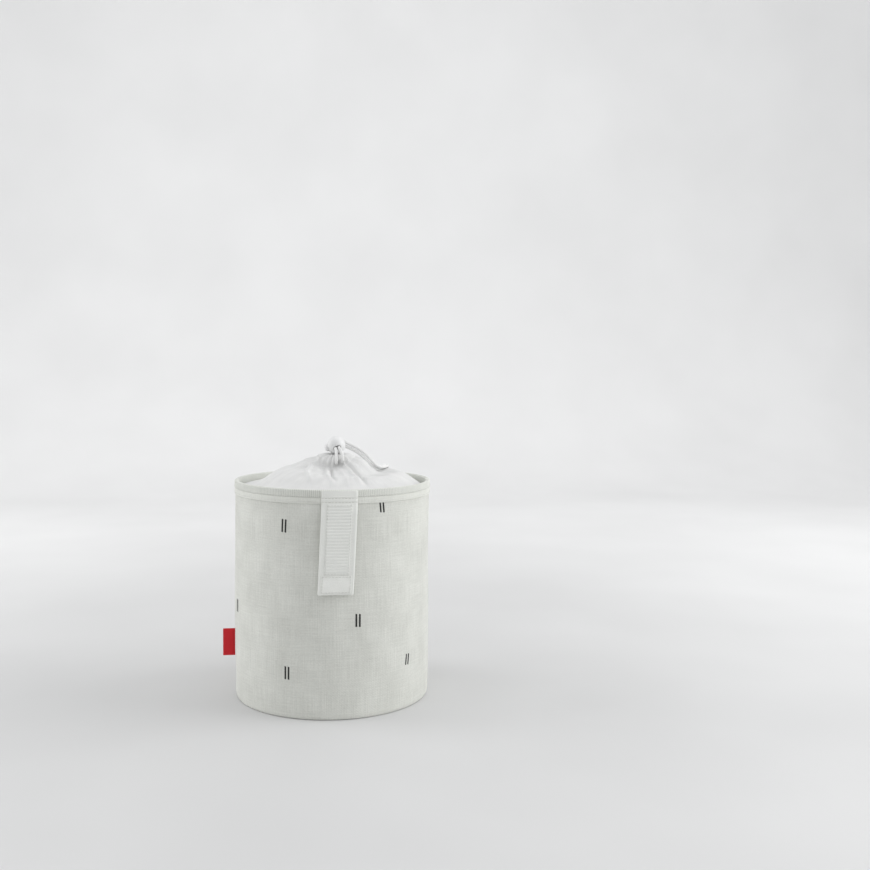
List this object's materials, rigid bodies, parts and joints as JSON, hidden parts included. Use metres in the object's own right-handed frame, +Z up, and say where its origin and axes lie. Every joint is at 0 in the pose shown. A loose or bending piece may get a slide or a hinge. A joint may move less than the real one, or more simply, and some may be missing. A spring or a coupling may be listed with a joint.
{
  "type": "peg basket",
  "caption": "Round fabric basket with a drawn drawstring collar, a ball cord lock and a fold-over hook-and-loop hanging strap.",
  "frame": {"origin": "centre of the flat base, on the surface it stands on", "axes": "+Z up along the basket's axis, -Y towards the hanging strap (front), -X towards the side tab"},
  "size_m": [0.1914, 0.1842, 0.2397],
  "materials": {
    "canvas": "off white cotton and polyester twill, matt",
    "coated_lining": "smooth coated cloth, slight sheen",
    "board": "flat plastic sheet and strip",
    "ribbed_tape": "ribbed grosgrain tape, matt",
    "red_tape": "plain woven tape, matt",
    "webbing": "flat ribbed webbing, matt",
    "closure_tape": "hook and loop tape",
    "collar_cloth": "thin plain weave, matt, slightly cool white",
    "cord_yarn": "braided cord, matt",
    "moulded": "smooth moulded plastic, satin",
    "spring_wire": "bright drawn wire"
  },
  "bodies": {
    "basket": {"wall_canvas": "canvas", "base_canvas": "canvas", "wall_lining": "coated_lining", "base_lining": "coated_lining", "base_board": "board", "rim_hoop": "board", "base_seam_tape": "ribbed_tape", "side_seam_tape": "ribbed_tape", "rim_binding": "ribbed_tape", "side_tab": "red_tape", "strap_sewn_end": "webbing", "collar": "collar_cloth", "collar_channel": "collar_cloth", "eyelet_left": "cord_yarn", "eyelet_right": "cord_yarn", "drawstring_in_channel": "cord_yarn", "drawstring_run_left": "cord_yarn", "drawstring_run_right": "cord_yarn"},
    "strap_leg": {"strap_leg": "webbing", "hook_tape": "closure_tape"},
    "strap_flap": {"strap_flap": "webbing", "hook_tape_end": "closure_tape", "loop_tape": "closure_tape"},
    "cord_lock": {"lock_ball": "moulded", "lock_spring": "spring_wire", "drawstring_tail_left": "cord_yarn", "drawstring_tail_right": "cord_yarn", "drawstring_knot": "cord_yarn"},
    "lock_button": {"lock_button": "moulded"}
  },
  "joints": [
    {"name": "strap_lift", "type": "hinge", "parent": "basket", "child": "strap_leg", "pos_m": [0, -0.0932, 0.18795], "axis": [-1, 0, 0], "range_deg": [0, 170]},
    {"name": "strap_fold", "type": "hinge", "parent": "strap_leg", "child": "strap_flap", "pos_m": [0, -0.0939, 0.14015], "axis": [-1, 0, 0], "range_deg": [0, 170]},
    {"name": "lock_slide", "type": "slide", "parent": "basket", "child": "cord_lock", "axis": [0, 0, 1], "range_m": [0, 0.025], "deforming": ["drawstring_run_left", "drawstring_run_right"]},
    {"name": "button_press", "type": "slide", "parent": "cord_lock", "child": "lock_button", "axis": [0.9659, 0, 0.2588], "range_m": [0, 0.0019], "stiffness_N_per_m": 300, "springref_m": -0.002, "deforming": ["lock_spring"]}
  ]
}
